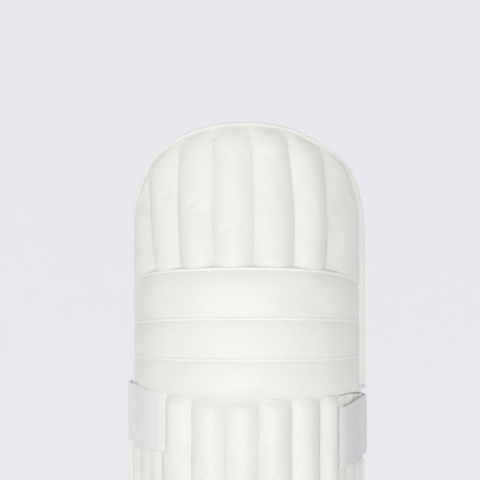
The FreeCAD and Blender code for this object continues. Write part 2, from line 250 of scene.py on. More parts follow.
def new_object(name, points, faces, place=None, seam=None):
    mesh = bpy.data.meshes.new(name)
    mesh.from_pydata(points.tolist(), [], faces)
    mesh.update()
    if place is not None:
        layer = mesh.attributes.new("place", "FLOAT_VECTOR", "POINT")
        layer.data.foreach_set("vector", np.asarray(place, np.float32).ravel())
    if seam is not None:
        layer = mesh.attributes.new("seam", "FLOAT", "POINT")
        layer.data.foreach_set("value", np.asarray(seam, np.float32).ravel())
    return link_object(name, mesh)


def smooth_shade(obj, degrees=40.0):
    mesh = obj.data
    mesh.polygons.foreach_set("use_smooth", np.ones(len(mesh.polygons), bool))
    mesh.set_sharp_from_angle(angle=math.radians(degrees))
    return obj


def grid_faces(rows, cols, start=0, flip=False):
    i = np.arange(rows - 1)[:, None] * cols + np.arange(cols - 1)[None, :] + start
    quads = np.stack([i, i + 1, i + cols + 1, i + cols], -1).reshape(-1, 4)
    return quads[:, ::-1] if flip else quads


def rim_faces(rows, cols, back):
    """Walls between the borders of two grids of the same size."""
    ring = list(range(cols))
    ring += [r * cols + cols - 1 for r in range(1, rows)]
    ring += [(rows - 1) * cols + c for c in range(cols - 2, -1, -1)]
    ring += [r * cols for r in range(rows - 2, 0, -1)]
    ring = np.array(ring)
    after = np.roll(ring, -1)
    return np.stack([ring, ring + back, after + back, after], -1)


def grid_normals(points):
    normal = np.cross(np.gradient(points, axis=1), np.gradient(points, axis=0))
    return normal / np.linalg.norm(normal, axis=-1, keepdims=True)


def slab(name, front, back, s, z, seam=None, normals=None):
    """A closed piece between two grids of points. Given normals hide a cut through one surface."""
    rows, cols = front.shape[:2]
    n = rows * cols
    points = np.concatenate([front.reshape(-1, 3), back.reshape(-1, 3)])
    sides = [grid_faces(rows, cols), grid_faces(rows, cols, n, True), rim_faces(rows, cols, n)]
    faces = np.concatenate(sides)
    place = np.stack([s, z, np.zeros_like(s)], -1).reshape(-1, 3) * MM
    place = np.concatenate([place, place + np.array([0, 0, 0.01])])
    shade = np.zeros(2 * n)
    if seam is not None:
        shade[:n] = seam.ravel()
    obj = smooth_shade(new_object(name, points, faces.tolist(), place, shade))
    if normals is not None:
        mesh = obj.data
        wanted = np.zeros((len(mesh.loops), 3))
        vertex = np.zeros(len(mesh.loops), np.int32)
        mesh.loops.foreach_get("vertex_index", vertex)
        count = (rows - 1) * (cols - 1) * 4
        wanted[:count] = normals.reshape(-1, 3)[vertex[:count]]
        mesh.normals_split_custom_set(wanted.tolist())
    return obj


def ring_sweep(name, rings, place):
    """A closed piece through a row of rings of points, with flat ends."""
    count, size = rings.shape[:2]
    i = np.arange(count - 1)[:, None] * size
    j = np.arange(size)[None, :]
    k = (j + 1) % size
    quads = np.stack([i + j, i + k, i + size + k, i + size + j], -1).reshape(-1, 4).tolist()
    quads.append(list(range(size - 1, -1, -1)))
    quads.append([(count - 1) * size + m for m in range(size)])
    obj = new_object(name, rings.reshape(-1, 3), quads, place.reshape(-1, 3) * MM, np.zeros(count * size))
    return smooth_shade(obj, 50.0)


def resample(points, step):
    """Even steps along a line of points."""
    points = np.asarray(points, float)
    along = np.concatenate([[0], np.cumsum(np.linalg.norm(np.diff(points, axis=0), axis=1))])
    count = max(3, int(round(along[-1] / step)) + 1)
    where = np.linspace(0, along[-1], count)
    return np.stack([np.interp(where, along, points[:, k]) for k in range(points.shape[1])], -1)


# ---- stuffing: cloth held at its seams and blown out by the foam ----

CLOTH = {
    "quality": 5, "mass": 0.25, "tension_stiffness": 25, "compression_stiffness": 25, "shear_stiffness": 8,
    "bending_stiffness": 8, "air_damping": 2, "vertex_group_mass": "held", "shrink_min": -0.002,
    "use_pressure": True, "uniform_pressure_force": 2.5,
}
CLOTH_FRAMES = 20
# the furthest a point may move, in millimetres
CAP = 3.0


def stuff(points, pinned):
    """Let a skin settle over its stuffing, with its seams held. Returns the moved points."""
    scene = bpy.context.scene
    rows, cols = points.shape[:2]
    cloth = new_object("settling", points.reshape(-1, 3), grid_faces(rows, cols).tolist())
    group = cloth.vertex_groups.new(name="held")
    group.add(np.flatnonzero(pinned.ravel()).tolist(), 1.0, "REPLACE")
    modifier = cloth.modifiers.new("Cloth", "CLOTH")
    settings = modifier.settings
    for key, value in CLOTH.items():
        setattr(settings, key, value)
    settings.effector_weights.gravity = 0
    modifier.collision_settings.use_self_collision = False
    modifier.collision_settings.use_collision = False
    modifier.point_cache.frame_start = 1
    modifier.point_cache.frame_end = CLOTH_FRAMES
    for step in range(1, CLOTH_FRAMES + 1):
        scene.frame_set(step)
    settled = cloth.evaluated_get(bpy.context.evaluated_depsgraph_get())
    moved = np.zeros(rows * cols * 3, np.float32)
    settled.data.vertices.foreach_get("co", moved)
    moved = moved.reshape(rows, cols, 3).astype(float)
    mesh = cloth.data
    bpy.data.objects.remove(cloth)
    bpy.data.meshes.remove(mesh)
    scene.frame_set(1)
    shift = moved - points
    length = np.linalg.norm(shift, axis=-1, keepdims=True)
    print("stuffed", rows, cols, "mean mm", float(length.mean() / MM), "most mm", float(length.max() / MM))
    return points + shift * np.minimum(1, CAP * MM / np.maximum(length, 1e-9))


def seam_columns(stops, step=STEP):
    """The channel, the share across it and the s of each column from the first stop to the last."""
    channel, share = [], []
    for i, (a, b) in enumerate(zip(stops, stops[1:])):
        n = max(6, int(round((b - a) / step)))
        channel += [i] * n
        share += [k / n for k in range(n)]
    channel, share = np.array(channel + [len(stops) - 2]), np.array(share + [1.0])
    return channel, share, np.interp(channel + share, np.arange(len(stops)), stops)


def near_seam(t, width, reach=4.0):
    """1 on a channel's seams, falling to 0 past the reach."""
    return fade(np.minimum(t, 1 - t) * width, reach)


def held_border(shape):
    """A mask of the four borders of a skin, where it is held."""
    held = np.zeros(shape, bool)
    held[0] = held[-1] = True
    held[:, 0] = held[:, -1] = True
    return held


def across_all(rows, values):
    """The same values in every row."""
    return np.broadcast_to(np.asarray(values, float), (rows, len(values))).copy()


def rows_between(low, high, step=STEP, power=1.0):
    """Heights from the low line to the high one, column by column."""
    count = max(4, int(round(float(np.max(high - low)) / step)) + 1)
    up = (np.linspace(0, 1, count) ** power)[:, None]
    return low[None, :] + (high - low)[None, :] * up


# ---- materials ----

def material(name, colour, roughness, build):
    mat = bpy.data.materials.new(name)
    mat.use_nodes = True
    nodes = mat.node_tree.nodes
    shader = next(n for n in nodes if n.type == "BSDF_PRINCIPLED")
    shader.inputs["Base Color"].default_value = (*colour, 1)
    shader.inputs["Roughness"].default_value = roughness
    build(Nodes(mat.node_tree), shader)
    return mat


class Nodes:
    """Short ways to add and join shader nodes."""

    def __init__(self, tree):
        self.tree = tree

    def add(self, kind, inputs=None, **settings):
        node = self.tree.nodes.new(kind)
        for key, value in settings.items():
            setattr(node, key, value)
        for key, value in (inputs or {}).items():
            if isinstance(value, bpy.types.NodeSocket):
                self.tree.links.new(value, node.inputs[key])
            else:
                node.inputs[key].default_value = value
        return node

    def place(self, scale=(1, 1, 1)):
        source = self.add("ShaderNodeAttribute", attribute_name="place")
        return self.add("ShaderNodeMapping", {"Vector": source.outputs["Vector"], "Scale": scale}).outputs[0]

    def noise(self, vector, scale, detail=3.0, rough=0.5):
        inputs = {"Vector": vector, "Scale": scale, "Detail": detail, "Roughness": rough}
        return self.add("ShaderNodeTexNoise", inputs).outputs["Fac"]

    def math(self, operation, a, b=0.0):
        return self.add("ShaderNodeMath", {0: a, 1: b}, operation=operation).outputs[0]

    def mix(self, share, a, b):
        return self.add("ShaderNodeMix", {0: share, 6: a, 7: b}, data_type="RGBA").outputs[2]

    def ramp(self, value, low, high, to_low=0.0, to_high=1.0):
        inputs = {"Value": value, "From Min": low, "From Max": high, "To Min": to_low, "To Max": to_high}
        return self.add("ShaderNodeMapRange", inputs).outputs[0]

    def bump(self, height, distance, strength=1.0, normal=None):
        inputs = {"Height": height, "Distance": distance, "Strength": strength}
        if normal is not None:
            inputs["Normal"] = normal
        return self.add("ShaderNodeBump", inputs).outputs[0]

    def join(self, out, socket):
        self.tree.links.new(out, socket)


def leather(colour, dirt):
    """White synthetic leather: a fine pebble grain, faint creases, and seams a little darker."""
    def build(n, shader):
        place = n.place()
        cells = {"Vector": place, "Scale": 1100.0, "Randomness": 0.9}
        grain = n.add("ShaderNodeTexVoronoi", cells).outputs["Distance"]
        creases = n.noise(place, 260.0, 5.0, 0.6)
        cloud = n.noise(place, 22.0, 4.0, 0.55)
        seam = n.add("ShaderNodeAttribute", attribute_name="seam").outputs["Fac"]
        tint = n.mix(n.ramp(cloud, 0.35, 0.7), (*colour, 1), (*[c * 0.965 for c in colour], 1))
        grimy = n.math("MULTIPLY", seam, n.ramp(creases, 0.3, 0.7, 0.0, 0.08))
        n.join(n.mix(grimy, tint, (*dirt, 1)), shader.inputs["Base Color"])
        n.join(n.ramp(creases, 0.3, 0.75, 0.42, 0.6), shader.inputs["Roughness"])
        fine = n.bump(grain, 0.00012, 0.55)
        n.join(n.bump(creases, 0.00035, 0.5, fine), shader.inputs["Normal"])
        shader.inputs["Specular IOR Level"].default_value = 0.4
    return build


def weave(colour, dark, pitch, depth, fuzz=0.0):
    """Plain woven cloth on the piece's own lengths: crossing threads with loose fibres, darker by the seam
    attribute.
    On the straps that attribute is painted shade, darker towards the right end; on the linings it darkens
    the seams."""
    def build(n, shader):
        place = n.place()
        wobble = n.noise(place, 120.0, 2.0)
        turn = 2 * math.pi / pitch
        parts = n.add("ShaderNodeSeparateXYZ", {0: place}).outputs
        waves = []
        for part in (parts[0], parts[1]):
            phase = n.math("ADD", n.math("MULTIPLY", part, turn), n.math("MULTIPLY", wobble, 2.5))
            waves.append(n.math("SINE", phase))
        threads = n.math("MULTIPLY", *waves)
        fibre = n.noise(place, 1500.0, 4.0, 0.7)
        height = n.math("ADD", threads, n.math("MULTIPLY", fibre, 1.0 + 3 * fuzz))
        cloud = n.noise(place, 35.0, 3.0)
        base = n.mix(n.ramp(height, -0.6, 1.6), (*dark, 1), (*colour, 1))
        base = n.mix(n.ramp(cloud, 0.3, 0.75, 0.0, 0.25), base, (*dark, 1))
        # painted shade on the straps, and darker seams on the linings, both from the seam attribute
        painted_shade_and_seams = n.add("ShaderNodeAttribute", attribute_name="seam").outputs["Fac"]
        n.join(n.mix(painted_shade_and_seams, base, (*(0.97 * c for c in dark), 1)), shader.inputs["Base Color"])
        n.join(n.bump(height, depth, 0.8), shader.inputs["Normal"])
        shader.inputs["Specular IOR Level"].default_value = 0.2
        shader.inputs["Sheen Weight"].default_value = 0.25
    return build


def grainy(colour, dark, scale, stretch=(1, 1, 1), depth=0.0002):
    """Wood, foam and other plain stuff that hardly shows, from noise in the piece's own space."""
    def build(n, shader):
        where = n.add("ShaderNodeTexCoord").outputs["Object"]
        where = n.add("ShaderNodeMapping", {"Vector": where, "Scale": stretch}).outputs[0]
        grain = n.noise(where, scale, 5.0, 0.6)
        n.join(n.mix(n.ramp(grain, 0.3, 0.7), (*dark, 1), (*colour, 1)), shader.inputs["Base Color"])
        n.join(n.bump(grain, depth, 0.7), shader.inputs["Normal"])
    return build


WHITE = (0.835, 0.825, 0.78)
MATERIALS = {
    "white_leather": material("white leather", WHITE, 0.5, leather(WHITE, (0.62, 0.60, 0.55))),
    "liner_cloth": material(
        "lining", (0.8, 0.8, 0.79), 0.9,
        weave((0.80, 0.80, 0.79), (0.62, 0.62, 0.61), 0.0016, 0.0003)),
    "binding_tape": material(
        "edge tape", (0.95, 0.945, 0.90), 0.7,
        weave((0.97, 0.965, 0.92), (0.90, 0.89, 0.84), 0.0011, 0.00015)),
    "strap_web": material(
        "strap", (0.89, 0.89, 0.89), 0.85,
        weave((0.92, 0.92, 0.92), (0.84, 0.84, 0.845), 0.0013, 0.0002, 0.5)),
    "strap_end": material(
        "strap end", (0.95, 0.945, 0.93), 0.7,
        weave((0.97, 0.965, 0.95), (0.91, 0.905, 0.89), 0.0010, 0.00015)),
    "loop_tape": material(
        "loop tape", (0.76, 0.76, 0.78), 0.95,
        grainy((0.78, 0.78, 0.80), (0.58, 0.58, 0.61), 900.0, depth=0.0006)),
    "hook_tape": material(
        "hook tape", (0.72, 0.72, 0.74), 0.5,
        grainy((0.76, 0.76, 0.78), (0.5, 0.5, 0.52), 1300.0, depth=0.0006)),
    # the welt's leather is lighter than the skin: painted highlight along the knee seams, on top of the
    # light its round shape catches
    "welt": material(
        "welt", (0.865, 0.86, 0.82), 0.6,
        leather((0.87, 0.865, 0.825), (0.83, 0.82, 0.78))),
    "thread": material(
        "thread", (0.885, 0.875, 0.84), 0.6,
        grainy((0.89, 0.88, 0.845), (0.81, 0.80, 0.76), 2500.0, depth=0.00008)),
    "cane": material(
        "cane", (0.6, 0.45, 0.25), 0.5,
        grainy((0.62, 0.47, 0.27), (0.42, 0.29, 0.14), 160.0, (9, 9, 0.5))),
}


def finish_piece(obj, slot, look=None):
    obj.data.materials.clear()
    obj.data.materials.append(MATERIALS[look or slot])
    return obj


# ---- shin ----

def strap_press(s, z):
    """1 under a strap's flat run, where it presses the side flat."""
    press = np.zeros_like(s)
    for name, width, *_ in STRAPS:
        middle = strap_height(name, flat_plan(s, z, 0.0) / MM)
        press = np.maximum(press, 1 - smooth((np.abs(z - middle) - width / 2 + 4.5) / 4.5))
    return press


def edge_pull(beyond):
    """How much of a strap's pull is there, by the distance past the pad's back edge."""
    return smooth((beyond + PULL_START) / PULL_RISE)


def squeeze(s, z):
    """How far the straps pull the wings' edges in."""
    pull = 0.0
    for name, width, *_ in STRAPS:
        away = np.abs(z - strap_height(name, flat_plan(s, z, 0.0) / MM))
        pull = np.maximum(pull, 1 - smooth((away - width / 2 - 1.0) / 7.0))
    most = np.where(np.asarray(s) < 0, SQUEEZE_LEFT, SQUEEZE_RIGHT)
    return most * edge_pull(np.abs(s) - S_END) * pull


def make_shin():
    channel, share, flat = seam_columns(SHIN_SEAMS)
    stops = np.array(SHIN_SEAMS)
    z = rows_between(foot_line(flat, SKIN_EDGE), knee_seam(0, flat))
    s = across_all(len(z), flat)
    wide = (stops[channel + 1] - stops[channel])[None, :] * np.ones_like(s)
    t = np.broadcast_to(share, s.shape)
    under = (knee_seam(0, s) - z) / 10.0
    top = 0.6 + 0.4 * smooth(under)
    foot = dome((z - foot_line(s, 0.0) - 7.0) / 28.0)
    crest = CHANNEL_CREST * (1 - 0.30 * smooth((150.0 - z) / 150.0))
    off = (CHANNEL_VALLEY + (crest - CHANNEL_VALLEY) * crown(t, 2.0, 1.0)) * top * foot
    off = np.maximum(off, (foot_valley(s) - 0.8) * (1 - smooth(2.5 * under)))
    off += low_margin(z - foot_line(s, 0.0), s)
    off += 0.25 * ripple(s, z, 70.0, 1) * top * foot
    pressed = strap_press(s, z) * (1 - smooth((s + 92.5) / 5.0))
    off = off * (1 - pressed) + np.minimum(off, 3.0) * pressed
    held = held_border(s.shape)
    held[:, share == 0.0] = True
    held |= (z - foot_line(s, 0.0)) < 7.5
    held |= pressed > 0.3
    front = stuff(plan(s, z, off), held)
    seam = np.maximum(near_seam(t, wide), fade(z - knee_seam(0, s)))
    obj = slab("shin_skin", front, plan(s, z, SKIN_BACK), s, z, seam)
    finish_piece(obj, "white_leather")
    blend_at(obj)
    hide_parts("shin_facing", "shin_backing", *[f"shin_channel_{i}" for i in range(1, 7)])


def blend_at(obj):
    """Bake a piece's transform into its mesh; nothing is bent here."""
    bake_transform(obj)


def make_ankle_flaps():
    for side, name, seam in SIDES:
        edge = S_END - SKIN_EDGE
        flat = np.sort(side * np.linspace(seam + 0.2, edge, max(8, int((edge - seam) / STEP))))
        z = rows_between(foot_line(flat, SKIN_EDGE), np.full(len(flat), ANKLE_TOP - SKIN_EDGE))
        s = across_all(len(z), flat)
        inside = np.minimum(np.minimum(z - foot_line(s), ANKLE_TOP - z), S_END - np.abs(s))
        away = np.abs(s) - seam
        off = 2.6 * dome((inside - 6.0) / 16.0) * dome(away / 9.0) + low_margin(inside, s)
        off += 0.2 * ripple(s, z, 40.0, 5 + side)
        held = (inside < 6.5) | (away < 0.5)
        front = stuff(plan(s, z, off), held)
        obj = slab(f"ankle_flap_{name}_skin", front, plan(s, z, LINING_THIN), s, z, fade(away))
        finish_piece(obj, "white_leather")
        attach(obj, "shin")
        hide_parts(f"ankle_flap_{name}_cover", f"ankle_flap_{name}_foam")


# ---- side wings ----

def wing_top(s, seam):
    """Height of a wing's top edge: it leaves the knee section a little room to bend."""
    return knee_seam(0, s) - 1.0 - 1.6 * smooth((np.abs(s) - seam) / (S_END - seam))


def make_wings():
    for side, word, seam in SIDES:
        name = f"{word}_wing"
        edge = S_END - SKIN_EDGE
        stops = np.sort(side * np.array([seam + 0.2] + WING_RIBS[side] + [edge]))
        channel, share, flat = seam_columns(list(stops))
        low = np.full(len(flat), WING_Z[0] + SKIN_EDGE)
        z = rows_between(low, wing_top(flat, seam))
        s = across_all(len(z), flat)
        t = np.broadcast_to(share, s.shape)
        inside = np.minimum(S_END - np.abs(s), z - WING_Z[0])
        away = np.abs(s) - seam
        free = 1 - strap_press(s, z)
        foam = dome((away + 0.3) / 12.0)
        full = 3.2 if side < 0 else 2.0
        off = ((full - 1.2) + 1.2 * crown(t, 2.0, 0.8) * dome((inside - 7.0) / 14.0)) * foam
        off += wing_margin(inside, s) * foam + 0.2 * ripple(s, z, 50.0, 8 + side)
        off = np.where(free < 1, off * free + np.minimum(off, 1.3 * foam) * (1 - free), off)
        held = (inside < 8.0) | (away < 0.5) | (free < 0.6)
        held[-1] = True
        held[:, share == 0.0] = True
        front = stuff(plan(s, z, off), held)
        back_s = side * np.maximum(np.abs(s), seam + 2.0)
        shade = np.maximum(near_seam(t, 24.0, 3.0) * 0.5, fade(away))
        obj = slab(f"{name}_skin", front, plan(back_s, z, WING_BACK), s, z, shade)
        finish_piece(obj, "white_leather")
        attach(obj, name)
        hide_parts(f"{name}_cover", f"{name}_foam")


# ---- knee roll ----

def roll_share(s):
    """0 in the middle of the knee section, 1 where its bolsters run out."""
    return np.clip(np.abs(s) / ROLL_REACH, 0, 1)


def knee_valley(s):
    """How far out the seams between the knee bolsters lie."""
    return KNEE_VALLEY * (1 - roll_share(s) ** 2.2)


def foot_valley(s):
    """How far out the knee section's lower edge lies, where it joins the shin."""
    return FOOT_VALLEY * (1 - 0.6 * roll_share(s) ** 2)


def knee_padding(inside, s):
    """0 under the edge tape, rising to 1 where the knee section is full."""
    return dome((inside - tape_width(s) + 1.0) / 26.0)


def seam_relief(j, s):
    """How far out the seam above bolster j lies, with the pad's margin."""
    inside = S_END - np.abs(s)
    share = TOP_VALLEY_SHARE if j == 3 else 1.0
    return knee_valley(s) * share * knee_padding(inside, s) + margin(inside, s)


def make_knee_roll():
    edge = S_END - SKIN_EDGE
    flat = np.linspace(-edge, edge, int(2 * edge / STEP) + 1)
    parts, shares = [], []
    for i in range(3):
        low = knee_foot(flat) if i == 0 else knee_seam(i, flat)
        count = 2 * int(round(44.0 / STEP / 2))
        share = np.linspace(0, 1, count + 1)
        share = share if i == 2 else share[:-1]
        parts.append(low[None, :] + (knee_seam(i + 1, flat) - low)[None, :] * share[:, None])
        shares += [i + x for x in share]
    z = np.concatenate(parts)
    shares = np.array(shares)
    s = across_all(len(z), flat)
    bolster = np.minimum(shares.astype(int), 2)[:, None]
    seams = np.stack([knee_seam(j, s) for j in range(4)])
    low = np.take_along_axis(seams, np.broadcast_to(bolster, s.shape)[None], 0)[0]
    high = np.take_along_axis(seams, np.broadcast_to(bolster + 1, s.shape)[None], 0)[0]
    t = np.clip((z - low) / (high - low), 0, 1)
    crest = ROLL_END_CREST + ROLL_CREST * (1 - roll_share(s) ** 2.3)
    inner = knee_valley(s)
    valley_low = np.where(bolster == 0, foot_valley(s), inner)
    valley_high = np.where(bolster == 2, TOP_VALLEY_SHARE * inner, inner)
    valley = valley_low + (valley_high - valley_low) * smooth(t)
    inside = S_END - np.abs(s)
    padding = knee_padding(inside, s)
    off = (valley + (crest - valley) * crown(t, 2.5, 0.95)) * padding + margin(inside, s)
    off += 0.3 * ripple(s, z, 80.0, 2) * padding
    held = (inside < tape_width(s)) | held_border(s.shape)
    held[np.isclose(shares % 1, 0)] = True
    front = stuff(plan(s, z, off), held)
    normals = grid_normals(front)
    seam = near_seam(t, BOLSTER, 3.5)
    back = plan(s, z, SKIN_BACK)
    cuts = [0] + [int(np.argmin(np.abs(shares - m))) for m in (0.5, 1.5, 2.5)] + [len(shares) - 1]
    for j, (r0, r1) in enumerate(zip(cuts, cuts[1:])):
        rows = slice(r0, r1 + 1)
        cut = [grid[rows] for grid in (front, back, s, z, seam, normals)]
        obj = slab(f"knee_roll_skin_{j + 1}", *cut)
        finish_piece(obj, "white_leather")
        blend_at(obj)
        if j < 3:
            name = KNEE_BODIES[j + 1]
            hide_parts(f"{name}_cover", f"{name}_core")


def make_knee_welts():
    """A thin rounded welt in each knee seam above the shin, in a lighter leather: a painted highlight along
    the seam.
    """
    for j in (1, 2, 3):
        edge = S_END - 12.0
        s = np.linspace(-edge, edge, 220)
        z = knee_seam(j, s)
        off = seam_relief(j, s)
        turn = np.linspace(0, 2 * math.pi, 11)[:-1]
        rings = np.stack([plan(s, z + 1.9 * np.sin(a), off - 1.2 * np.cos(a)) for a in turn], 1)
        place = np.stack([np.stack([s, 1.1 * a + 0 * s, 0 * s], -1) for a in turn], 1)
        obj = ring_sweep(f"knee_welt_{j}", rings, place)
        finish_piece(obj, "binding_tape", "welt")
        blend_at(obj)


# ---- top flap ----

def flap_seam(i, z):
    """s of a top flap seam at height z: a smooth line through three places."""
    low, middle, high = FLAP_SEAMS[i]
    z0, z1, z2 = FLAP_SEAM_Z
    a = (z - z1) * (z - z2) / ((z0 - z1) * (z0 - z2))
    b = (z - z0) * (z - z2) / ((z1 - z0) * (z1 - z2))
    c = (z - z0) * (z - z1) / ((z2 - z0) * (z2 - z1))
    return low * a + middle * b + high * c


def flap_grid():
    """s and z of the top flap's skin, its columns on the seams, and each one's channel, share and width."""
    edge = S_END - SKIN_EDGE
    stops = [-edge] + [f[0] for f in FLAP_SEAMS] + [edge]
    channel, share, flat = seam_columns(stops)
    rows = int(round(150.0 / STEP)) + 1
    up = np.linspace(0, 1, rows)[:, None]
    s = across_all(rows, flat)
    for _ in range(5):
        low = knee_seam(3, s)
        z = low + (arch_top(s, TOP_SKIN_EDGE) - low) * up
        seams = [flap_seam(i, z) for i in range(len(FLAP_SEAMS))]
        lines = np.stack([np.full_like(z, -edge)] + seams + [np.full_like(z, edge)])
        left = np.take_along_axis(lines, np.broadcast_to(channel, z.shape)[None], 0)[0]
        right = np.take_along_axis(lines, np.broadcast_to(channel + 1, z.shape)[None], 0)[0]
        s = left + (right - left) * share[None, :]
    return s, z, channel, np.broadcast_to(share, s.shape), right - left


def flap_inside(s, z):
    """How far a place on the top flap is inside the outline."""
    top = arch_top(s)
    slope = np.abs(arch_top(s + 0.5) - arch_top(s - 0.5))
    return np.minimum((top - z) / np.sqrt(1 + slope ** 2), S_END - np.abs(s))


def flap_lean(s, z):
    """The flap's top leans back a little, most in the middle."""
    return 7.0 * np.clip((z - 585.0) / 134.0, 0, 1) ** 1.6 * (1 - smooth((np.abs(s) - 60.0) / 70.0))


# strength and height of the creases at each flap seam's top
PUCKERS = ((0.3, 652.0), (0.9, 682.0), (1.3, 700.0), (0.6, 702.0), (0.8, 694.0), (0.5, 672.0))


def flap_puckers(s, z):
    """Small creases where each seam runs out under the edge tape."""
    total = 0 * s
    for i, (strength, end) in enumerate(PUCKERS):
        du, dv = s - flap_seam(i, end), z - end
        near = np.exp(-(du ** 2 + dv ** 2) / 90.0)
        total = total - strength * near * np.cos(1.1 * np.hypot(du, dv) + 2.2 * np.arctan2(du, dv - 14.0))
    return total


def make_top_flap():
    s, z, channel, t, wide = flap_grid()
    inside = flap_inside(s, z)
    crest = np.where((channel == 0) | (channel == 6), 6.0, CHANNEL_CREST) * np.ones_like(s)
    crest = crest * (1 - 0.35 * np.clip((z - 575.0) / 138.0, 0, 1) ** 1.6)
    top = dome((inside - tape_width(s) - 2.0) / 22.0)
    above = (z - knee_seam(3, s)) / 9.0
    foot = 0.75 + 0.25 * smooth(above)
    across = crown(t, 2.0, 1.0)
    across = np.where(channel == 0, 1 - (2 * t - 1).clip(0) ** 2.1, across)
    across = np.where((channel == 6) & (t > 0.5), 1.0, across)
    softness = np.where(channel < 2, 0.85, 1.0)
    off = (CHANNEL_VALLEY + (crest - CHANNEL_VALLEY) * across * softness) * top * foot
    off += 0.35 * ripple(s, z, 60.0, 3) * top * foot
    joined = TOP_VALLEY_SHARE * knee_valley(s) * knee_padding(inside, s)
    off = np.maximum(off, joined * (1 - smooth(2.0 * above)))
    off += margin(inside, s) - flap_lean(s, z) + flap_puckers(s, z)
    held = (inside < tape_width(s) + 3.0) | held_border(s.shape)
    held[:, t[0] == 0.0] = True
    front = stuff(plan(s, z, off), held)
    seam = near_seam(t, wide) * ((channel + t > 0.5) & (channel + t < 6.5))
    seam = np.maximum(seam, fade(z - knee_seam(3, s)))
    obj = slab("top_flap_skin", front, plan(s, z, SKIN_BACK), s, z, seam)
    finish_piece(obj, "white_leather")
    blend_at(obj)
    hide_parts("top_flap_facing", "top_flap_backing", *[f"top_flap_channel_{i}" for i in range(1, 8)])


# ---- linings ----

def lining(name, body, low, high, nodes, bounds=(-S_END + SKIN_EDGE, S_END - SKIN_EDGE)):
    """Soft lining behind the skin between two height lines, with upright bolsters between its seams."""
    stops = [bounds[0]] + [x for x in LINING_SEAMS if bounds[0] < x < bounds[1]] + [bounds[1]]
    channel, share, flat = seam_columns(stops, STEP * 1.3)
    z = rows_between(low(flat), high(flat), STEP * 1.3)
    s = across_all(len(z), flat)
    t = np.broadcast_to(share, s.shape)
    ends = dome(np.minimum(z - low(s), high(s) - z) / 13.0)
    thick = np.abs(s) < LINING_SEAMS[-1]
    depth = np.where(thick, LINING_THIN - LINING_DEEP, 1.2) * crown(t, 2.6, 0.55) * ends
    grids = (plan(s, z, LINING_OUT), plan(s, z, LINING_THIN - depth), s, z, near_seam(t, 60.0, 3.0))
    obj = slab(name, *[grid[:, ::-1] for grid in grids])
    obj.data.flip_normals()
    finish_piece(obj, "liner_cloth")
    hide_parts(*nodes)
    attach(obj, body)


def flex_slope(j, degrees, side):
    """The edge of a knee lining beside joint j. It slopes away to the back so that the knee can bend."""
    slope = math.tan(math.radians(degrees)) * side

    def line(s):
        reach = plan(s, 0.0, LINING_THIN)[..., 1] / MM - (CENTRE_Y - RADIUS)
        return KNEE_Z[j] + side * 0.3 + slope * reach
    return line


# degrees between each knee lining's lower and upper edge and the level
LOWER_SLOPES = (10.5, 1.9, 1.9)
UPPER_SLOPES = (1.9, 1.9, 4.8)


def make_linings():
    shin_nodes = [f"shin_liner_{n}" for n in ("left", "centre", "right")]
    spread = (SEAM_A + 0.5, SEAM_G - 0.5)
    lining("shin_lining", "shin", lambda s: foot_line(s, 4.0), lambda s: 427.0 + 0 * s, shin_nodes, spread)
    for i, name in enumerate(KNEE_BODIES[1:4]):
        low = flex_slope(i, LOWER_SLOPES[i], 1)
        high = flex_slope(i + 1, UPPER_SLOPES[i], -1)
        lining(f"{name}_lining", name, low, high, [f"{name}_liner"])
    low = lambda s: KNEE_Z[3] + 0.4 + 0 * s
    high = lambda s: np.maximum(arch_top(s, 4.0), KNEE_Z[3] + 20.0)
    lining("top_flap_lining", "top_flap", low, high, ["top_flap_liner"])


# ---- edge tape ----

TAPE_STEP = 2.5
# name, path and height of each row of stitches on the tape, filled in as the tape is made
STITCH_ROWS = []

def tape_ring(path, normal, width, back, front_of):
    """Rings of a tape folded over an edge: along its face, round the nose, behind the pad and back inside.
    front_of gives how far out the skin lies at a distance inside the edge."""
    s, z = path[:, 0], path[:, 1]
    nose = front_of(np.zeros_like(s), s)
    face = [(width, 0.15), (width - 0.5, 0.75), (width * 0.66, 1.0), (width * 0.33, 1.0)]
    face += [(1.6, 0.8), (0.5, 0.1), (0.05, -1.2)]
    behind = [(0.05, -0.4), (0.7, -1.2), (3.5, -1.4), (6.5, -1.3), (6.9, -0.8)]
    within = [(6.9, -0.3), (1.9, -0.25), (1.3, 0.6)]
    under = [(1.3, -1.2), (1.7, -0.25), (width * 0.5, 0.02), (width, 0.02)]
    rings = [(d, front_of(d + 0 * s, s) + lift) for d, lift in face]
    rings += [(d, np.minimum(back + lift, nose - 2.0)) for d, lift in behind]
    rings += [(d, np.minimum(back + lift, nose - 1.8)) for d, lift in within]
    rings += [(d, front_of(d + 0 * s, s) + lift) for d, lift in under]
    along = np.concatenate([[0], np.cumsum(np.hypot(np.diff(s), np.diff(z)))])
    points = [plan(s + normal[:, 0] * d, z + normal[:, 1] * d, off) for d, off in rings]
    places = [np.stack([along, 1.2 * k + 0 * s, 0 * s], -1) for k in range(len(rings))]
    return np.stack(points, 1), np.stack(places, 1)


def inward(path, side):
    """Unit normals of a path in (s, z), to its left or right."""
    tangent = np.gradient(path, axis=0)
    tangent /= np.linalg.norm(tangent, axis=1, keepdims=True)
    return side * np.stack([-tangent[:, 1], tangent[:, 0]], -1)


def tape(name, path, side, width, back, front_of, node):
    """Edge tape along a path in (s, z) with the pad on the given side of it, and its row of stitches."""
    normal = inward(path, side)
    rings, place = tape_ring(path, normal, width, back, front_of)
    obj = ring_sweep(name, rings[:, ::side], place[:, ::side])
    finish_piece(obj, "binding_tape")
    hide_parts(node)
    inset = width - 1.6
    height = front_of(inset, path[:, 0]) + 1.0
    STITCH_ROWS.append((f"{name}_stitches", path + normal * inset[:, None], height))
    return obj


